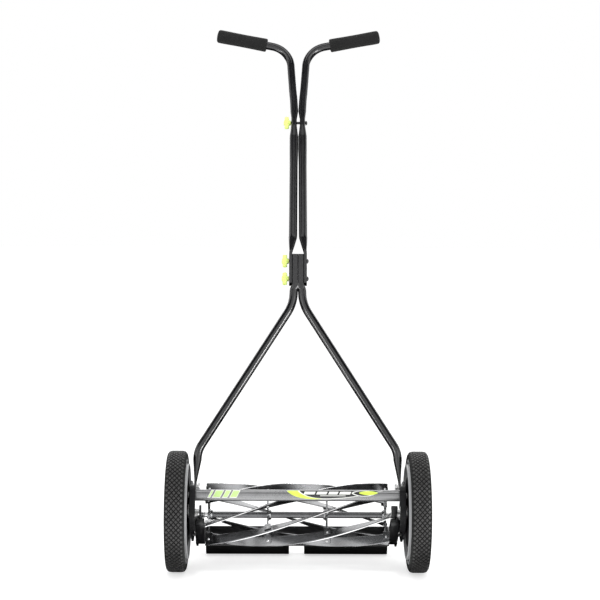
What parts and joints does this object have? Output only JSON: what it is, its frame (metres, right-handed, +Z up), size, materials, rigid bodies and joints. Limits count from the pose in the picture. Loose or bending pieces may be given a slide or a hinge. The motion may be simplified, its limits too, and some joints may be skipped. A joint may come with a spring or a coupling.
{
  "type": "reel mower",
  "caption": "Hand-pushed reel lawn mower: a helical bladed reel between two geared wheels, a bed knife, rear rollers and a tall T-shaped tube handle.",
  "frame": {"origin": "on the ground, under the middle of the mower's box", "axes": "+Z up, -Y the front that meets the grass first, +X the right-hand side seen from in front facing it"},
  "size_m": [0.574, 0.5455, 1.2281],
  "materials": {
    "black_paint": "semi-gloss black enamel on steel",
    "grey_paint": "metallic grey enamel on steel tube",
    "bright_steel": "zinc-plated and turned steel",
    "blade_steel": "dark tempered steel with ground cutting edges",
    "wheel_plastic": "moulded grey plastic",
    "black_plastic": "moulded black plastic",
    "tread_rubber": "black rubber with a fine diamond tread",
    "grip_foam": "soft black closed-cell foam",
    "lime_plastic": "satin yellow-green plastic"
  },
  "bodies": {
    "frame": {"side_plate_left": "black_paint", "side_plate_right": "black_paint", "tie_bar": "grey_paint", "tie_bolt_left": "bright_steel", "tie_bolt_right": "bright_steel", "cutter_bar": "black_paint", "bed_knife": "bright_steel", "cutter_bolt_left": "bright_steel", "cutter_bolt_right": "bright_steel", "bearing_housing_left": "bright_steel", "bearing_housing_right": "bright_steel", "gear_cover_left": "black_paint", "gear_cover_right": "black_paint", "handle_post_left": "bright_steel", "handle_post_right": "bright_steel", "wheel_bolt_left": "bright_steel", "wheel_bolt_right": "bright_steel", "bracket_bolt_left": "bright_steel", "bracket_bolt_right": "bright_steel"},
    "drive_wheel_left": {"wheel_left": "wheel_plastic", "tyre_left": "tread_rubber", "hub_cap_left": "black_plastic"},
    "drive_wheel_right": {"wheel_right": "wheel_plastic", "tyre_right": "tread_rubber", "hub_cap_right": "black_plastic"},
    "drive_pinion_left": {"pinion_left": "bright_steel"},
    "drive_pinion_right": {"pinion_right": "bright_steel"},
    "reel": {"reel_shaft": "bright_steel", "spider_1": "blade_steel", "spider_2": "blade_steel", "spider_3": "blade_steel", "spider_4": "blade_steel", "blade_1": "blade_steel", "blade_2": "blade_steel", "blade_3": "blade_steel", "blade_4": "blade_steel", "blade_5": "blade_steel", "blade_6": "blade_steel", "blade_7": "blade_steel"},
    "roller_frame": {"roller_bracket_left": "black_paint", "roller_bracket_right": "black_paint", "height_bolt_left": "bright_steel", "height_bolt_right": "bright_steel", "roller_axle": "bright_steel"},
    "roller_left": {"rear_roller_left": "black_plastic"},
    "roller_right": {"rear_roller_right": "black_plastic"},
    "handle": {"lower_tube_left": "black_paint", "lower_tube_right": "black_paint", "upper_tube_left": "black_paint", "upper_tube_right": "black_paint", "grip_left": "grip_foam", "grip_right": "grip_foam", "handle_bolt_low": "bright_steel", "handle_bolt_middle": "bright_steel", "handle_bolt_top": "bright_steel"},
    "wing_knob_low": {"knob_low": "lime_plastic"},
    "wing_knob_middle": {"knob_middle": "lime_plastic"},
    "wing_knob_top": {"knob_top": "lime_plastic"},
    "gap_screw_left": {"adjusting_screw_left": "bright_steel"},
    "gap_screw_right": {"adjusting_screw_right": "bright_steel"}
  },
  "joints": [
    {"name": "wheel_left_spin", "type": "hinge", "parent": "frame", "child": "drive_wheel_left", "pos_m": [-0.265, -0.1396, 0.13309], "axis": [1, 0, 0], "continuous": true},
    {"name": "wheel_right_spin", "type": "hinge", "parent": "frame", "child": "drive_wheel_right", "pos_m": [0.265, -0.1396, 0.13309], "axis": [1, 0, 0], "continuous": true},
    {"name": "pinion_left_spin", "type": "hinge", "parent": "frame", "child": "drive_pinion_left", "pos_m": [-0.252, -0.08831, 0.11619], "axis": [1, 0, 0], "continuous": true},
    {"name": "pinion_right_spin", "type": "hinge", "parent": "frame", "child": "drive_pinion_right", "pos_m": [0.252, -0.08831, 0.11619], "axis": [1, 0, 0], "continuous": true},
    {"name": "reel_spin", "type": "hinge", "parent": "frame", "child": "reel", "pos_m": [0, -0.08831, 0.11619], "axis": [1, 0, 0], "continuous": true},
    {"name": "cutting_height", "type": "hinge", "parent": "frame", "child": "roller_frame", "pos_m": [0, -0.0616, 0.09959], "axis": [1, 0, 0], "range_deg": [-20, 28]},
    {"name": "roller_left_spin", "type": "hinge", "parent": "roller_frame", "child": "roller_left", "pos_m": [-0.1135, 0.0474, 0.02757], "axis": [1, 0, 0], "continuous": true},
    {"name": "roller_right_spin", "type": "hinge", "parent": "roller_frame", "child": "roller_right", "pos_m": [0.1135, 0.0474, 0.02757], "axis": [1, 0, 0], "continuous": true},
    {"name": "handle_swing", "type": "hinge", "parent": "frame", "child": "handle", "pos_m": [0, -0.1176, 0.18309], "axis": [1, 0, 0], "range_deg": [-75, 65]},
    {"name": "knob_low_turn", "type": "hinge", "parent": "handle", "child": "wing_knob_low", "pos_m": [-0.029, 0.04842, 0.63921], "axis": [-1, 0, 0], "range_deg": [0, 1080]},
    {"name": "knob_middle_turn", "type": "hinge", "parent": "handle", "child": "wing_knob_middle", "pos_m": [-0.029, 0.06299, 0.67925], "axis": [-1, 0, 0], "range_deg": [0, 1080]},
    {"name": "knob_top_turn", "type": "hinge", "parent": "handle", "child": "wing_knob_top", "pos_m": [-0.026, 0.18078, 1.00288], "axis": [-1, 0, 0], "range_deg": [0, 1080]},
    {"name": "gap_screw_left_turn", "type": "hinge", "parent": "frame", "child": "gap_screw_left", "pos_m": [-0.2155, -0.1156, 0.13309], "axis": [0, 0, 1], "range_deg": [-360, 360]},
    {"name": "gap_screw_right_turn", "type": "hinge", "parent": "frame", "child": "gap_screw_right", "pos_m": [0.2155, -0.1156, 0.13309], "axis": [0, 0, 1], "range_deg": [-360, 360]}
  ],
  "couplings": [
    {"joint": "pinion_left_spin", "follows": "wheel_left_spin", "ratio": 4},
    {"joint": "reel_spin", "follows": "wheel_left_spin", "ratio": 4},
    {"joint": "pinion_right_spin", "follows": "wheel_right_spin", "ratio": 4}
  ]
}
